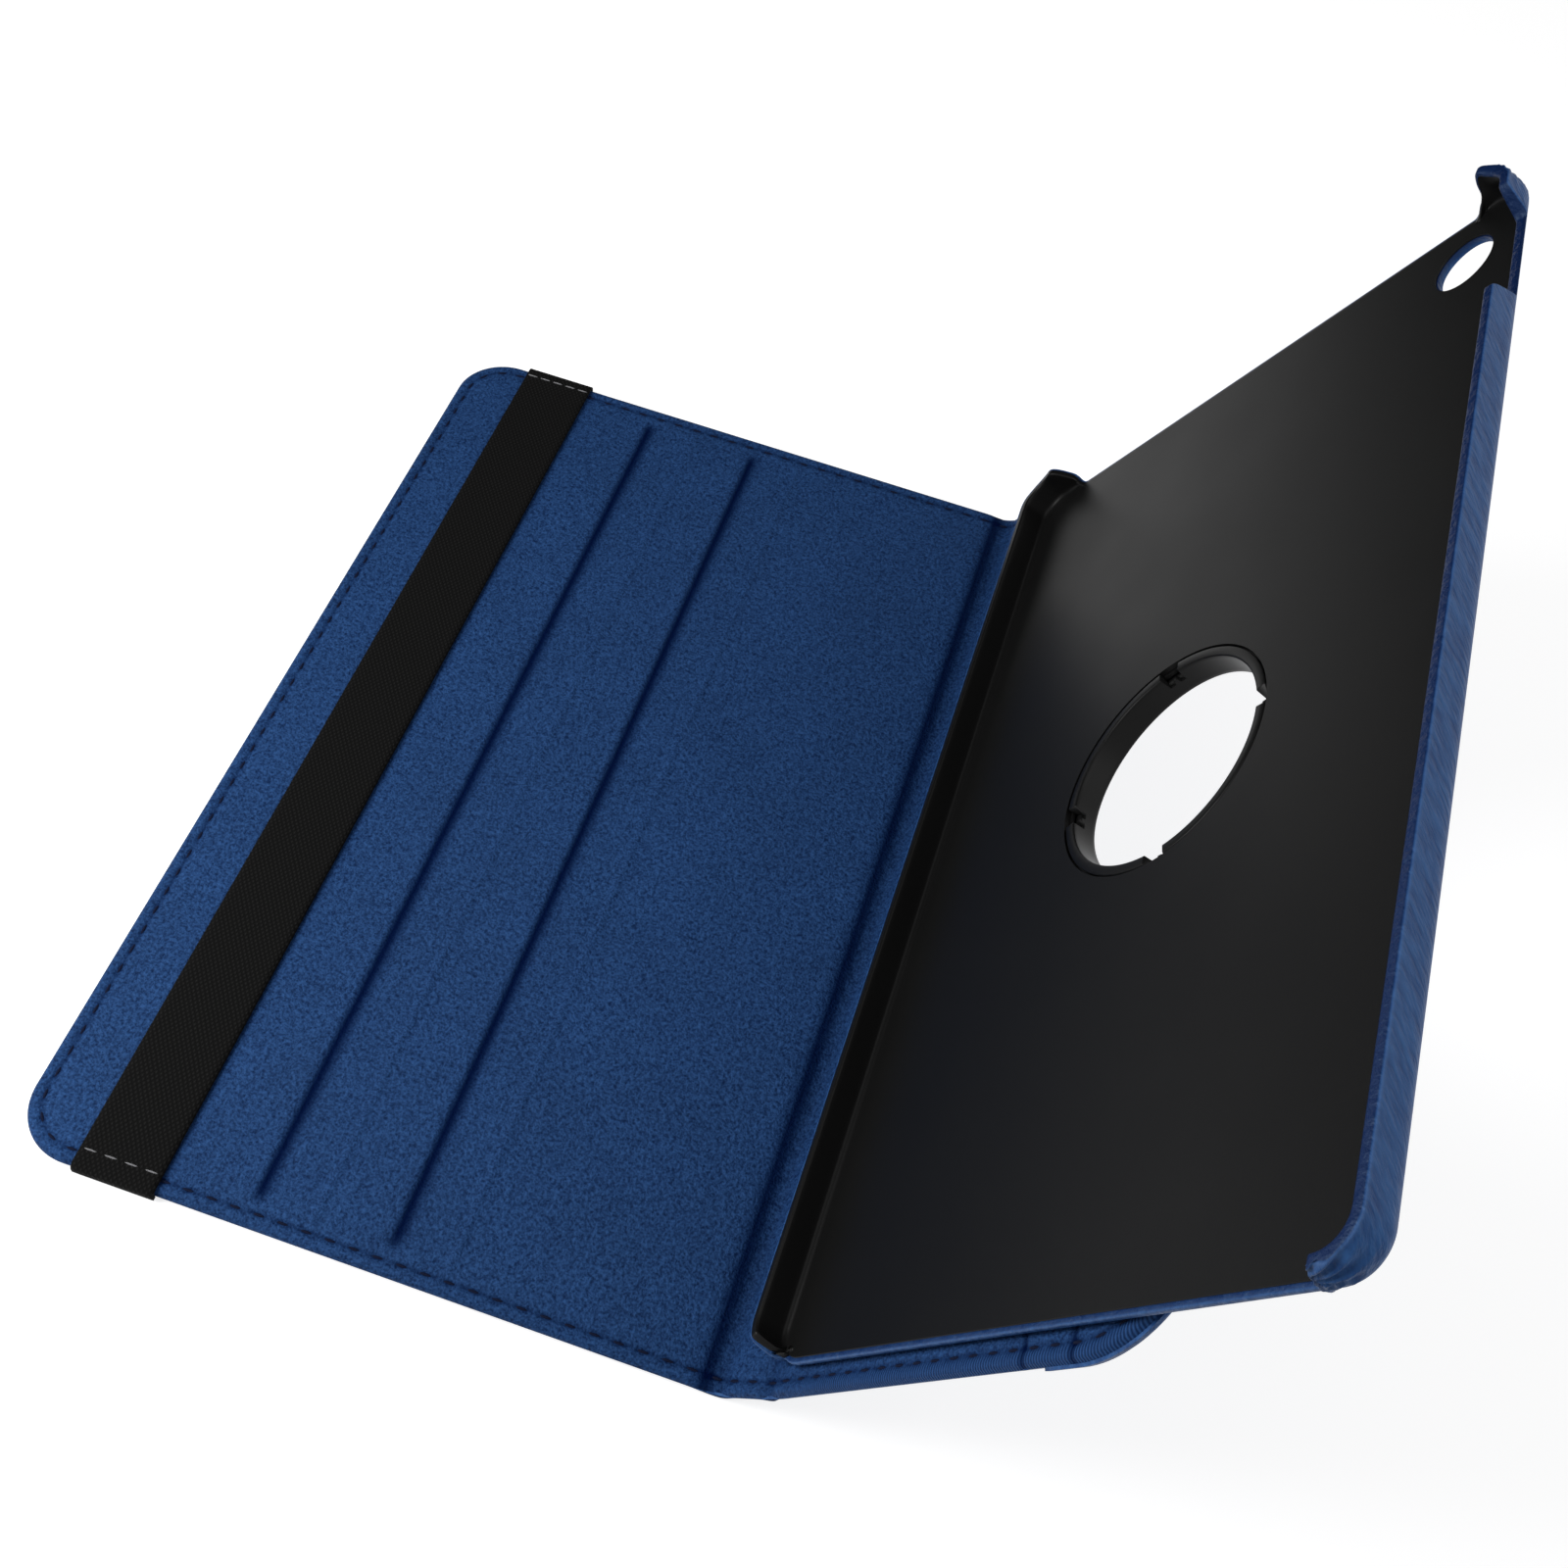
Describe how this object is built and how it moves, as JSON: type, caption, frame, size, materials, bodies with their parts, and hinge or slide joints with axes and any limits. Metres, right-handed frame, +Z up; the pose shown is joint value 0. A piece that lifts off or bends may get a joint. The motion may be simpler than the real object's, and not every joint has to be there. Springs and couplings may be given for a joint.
{
  "type": "rotating tablet folio case",
  "caption": "Folding tablet folio: lined front cover with strap and stand grooves, spine and creased back flap, and a clip-in tray that turns on a snap ring.",
  "frame": {"origin": "middle of the front cover's underside", "axes": "+X from the cover's free edge to the spine and tray, +Y along the spine, +Z up"},
  "size_m": [0.2465, 0.2598, 0.1569],
  "materials": {
    "pu_skin": "navy coated leather with a fine diagonal grain",
    "suede_lining": "blue brushed microfibre suede",
    "panel_board": "grey stiffener board, hidden",
    "strap_webbing": "black woven elastic",
    "tray_plastic": "black satin moulded plastic",
    "ring_plastic": "black satin moulded plastic"
  },
  "bodies": {
    "front_cover": {"front_cover_skin": "pu_skin", "front_cover_board": "panel_board", "front_cover_lining": "suede_lining", "stand_strip_one": "panel_board", "stand_strip_two": "panel_board", "elastic_strap": "strap_webbing", "cover_fold_skin": "pu_skin", "cover_fold_lining": "suede_lining"},
    "spine": {"spine_skin": "pu_skin", "spine_board": "panel_board", "spine_lining": "suede_lining", "flap_fold_skin": "pu_skin", "flap_fold_lining": "suede_lining"},
    "flap_leg": {"leg_skin": "pu_skin", "leg_board": "panel_board", "leg_lining": "suede_lining", "crease_skin": "pu_skin", "crease_lining": "suede_lining"},
    "flap_end": {"flap_end_skin": "pu_skin", "flap_end_board": "panel_board", "flap_end_lining": "suede_lining", "snap_ring": "ring_plastic", "rear_ring": "ring_plastic", "glide_washer": "ring_plastic"},
    "tray": {"tray_shell": "tray_plastic", "tray_skin": "pu_skin"}
  },
  "joints": [
    {"name": "cover_fold", "type": "hinge", "parent": "front_cover", "child": "spine", "pos_m": [0.083, 0, 0.00145], "axis": [0, -1, 0], "range_deg": [-47.6, 42.4], "deforming": ["cover_fold_skin", "cover_fold_lining"]},
    {"name": "flap_fold", "type": "hinge", "parent": "spine", "child": "flap_leg", "pos_m": [0.09312, 0, 0.01253], "axis": [0, -1, 0], "range_deg": [-13.6, 20], "deforming": ["flap_fold_skin", "flap_fold_lining"]},
    {"name": "stand_crease", "type": "hinge", "parent": "flap_leg", "child": "flap_end", "pos_m": [0.13199, 0, 0.08324], "axis": [0, -1, 0], "range_deg": [-98, 0], "deforming": ["crease_skin", "crease_lining"]},
    {"name": "tray_turn", "type": "hinge", "parent": "flap_end", "child": "tray", "pos_m": [0.13199, 0, 0.08324], "axis": [-0.8763, 0, 0.4818], "range_deg": [-90, 0]}
  ],
  "couplings": [
    {"joint": "tray_turn", "follows": "stand_crease", "ratio": 0.918}
  ]
}
